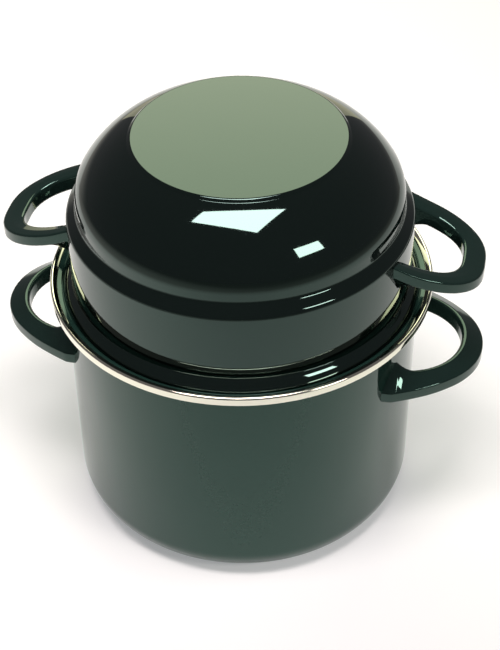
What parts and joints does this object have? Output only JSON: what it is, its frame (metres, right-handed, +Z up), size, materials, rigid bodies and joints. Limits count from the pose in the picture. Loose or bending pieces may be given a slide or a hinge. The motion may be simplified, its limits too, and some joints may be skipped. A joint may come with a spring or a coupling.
{
  "type": "mussel pot",
  "caption": "Straight enamelled pot with a steel rim, loop handles and a deep domed lid whose flat top lets it stand as a bowl when turned over.",
  "frame": {"origin": "centre of the pot's flat base, on the table", "axes": "+X through the handles, +Y across them, +Z up through the lid"},
  "size_m": [0.2784, 0.2158, 0.2403],
  "materials": {
    "enamel": "very dark bottle green vitreous enamel, high gloss",
    "rim_steel": "polished stainless steel strip"
  },
  "bodies": {
    "pot": {"pot_body": "enamel", "pot_rim": "rim_steel", "pot_handle_left": "enamel", "pot_handle_right": "enamel"},
    "lid": {"lid_shell": "enamel", "lid_handle_left": "enamel", "lid_handle_right": "enamel"}
  },
  "joints": [
    {"name": "lid_lift", "type": "slide", "parent": "pot", "child": "lid", "axis": [0, 0, 1], "range_m": [0, 0.12]}
  ]
}
